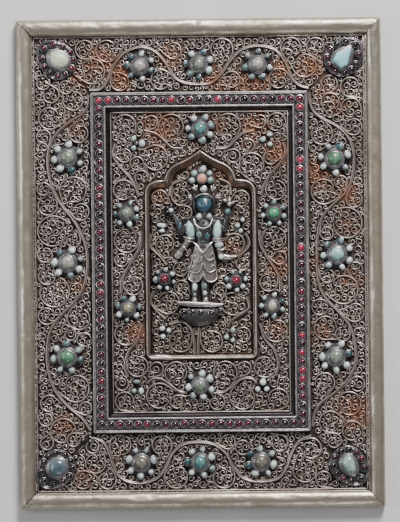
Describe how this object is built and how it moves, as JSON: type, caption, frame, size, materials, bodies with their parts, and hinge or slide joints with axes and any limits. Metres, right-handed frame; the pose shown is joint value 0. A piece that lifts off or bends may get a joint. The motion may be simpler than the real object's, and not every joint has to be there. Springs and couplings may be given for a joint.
{
  "type": "silver filigree plaque",
  "caption": "Rectangular silver filigree plaque set with cabochons and garnets, a rolled border, a jewelled moulding and a cusped niche with a standing four-armed figure.",
  "frame": {"origin": "middle of the back face, on the surface that the plaque lies on", "axes": "+X to the picture's right, +Y to the picture's top, +Z out of the picture"},
  "size_m": [0.2, 0.268, 0.0108],
  "materials": {
    "copper_sheet": "worn copper sheet, dulled and stained",
    "border_silver": "rolled silver sheet, rubbed and tarnished",
    "rail_silver": "dark tarnished silver moulding",
    "filigree_silver": "soldered silver wire, tarnished with bright worn tops",
    "filigree_ground": "blackened sheet with copper showing through",
    "bezel_silver": "darkened silver settings and wires",
    "figure_silver": "chased silver, worn bright on the high points",
    "garnet": "polished dark garnet cabochons",
    "turquoise": "polished turquoise, pale with dark veins",
    "cabochon": "polished grey-green to pearly cabochons",
    "malachite": "polished green stone",
    "blue_stone": "carved and polished dark blue stone",
    "coral": "polished pink coral"
  },
  "bodies": {
    "root": {"backing_sheet": "copper_sheet", "border_bottom": "border_silver", "border_left": "border_silver", "border_right": "border_silver", "border_top": "border_silver", "corner_boss_bottom_left": "bezel_silver", "corner_boss_bottom_right": "bezel_silver", "corner_boss_top_left": "bezel_silver", "corner_boss_top_right": "bezel_silver", "corner_stone_bottom_left": "blue_stone", "corner_stone_bottom_right": "malachite", "corner_stone_top_left": "malachite", "corner_stone_top_right": "turquoise", "crown_flower": "coral", "figure": "figure_silver", "figure_arm_stone_left": "turquoise", "figure_arm_stone_right": "turquoise", "figure_head_stone": "blue_stone", "figure_pedestal": "figure_silver", "filigree_field_bottom": "filigree_silver", "filigree_field_inner": "filigree_silver", "filigree_field_left": "filigree_silver", "filigree_field_right": "filigree_silver", "filigree_field_top": "filigree_silver", "garnet_rail_bottom": "rail_silver", "garnet_rail_left": "rail_silver", "garnet_rail_right": "rail_silver", "garnet_rail_top": "rail_silver", "niche_ground": "filigree_silver", "niche_rim": "bezel_silver", "niche_rosette_left": "garnet", "niche_rosette_right": "garnet", "niche_trefoil_lower_left": "turquoise", "niche_trefoil_lower_right": "turquoise", "niche_trefoil_upper_left": "turquoise", "niche_trefoil_upper_right": "turquoise", "rosette_above_niche": "malachite", "rosette_below_niche": "cabochon", "rosette_bottom_left": "cabochon", "rosette_bottom_middle": "cabochon", "rosette_bottom_right": "cabochon", "rosette_inner_left_lower": "cabochon", "rosette_inner_left_upper": "cabochon", "rosette_inner_right_lower": "cabochon", "rosette_inner_right_upper": "malachite", "rosette_left_lower": "malachite", "rosette_left_middle": "cabochon", "rosette_left_upper": "cabochon", "rosette_right_lower": "cabochon", "rosette_right_middle": "cabochon", "rosette_right_upper": "malachite", "rosette_top_left": "cabochon", "rosette_top_middle": "cabochon", "rosette_top_right": "cabochon", "trefoil_bottom_left": "turquoise", "trefoil_bottom_right": "turquoise", "trefoil_top_left": "turquoise", "trefoil_top_right": "turquoise"}
  },
  "joints": []
}
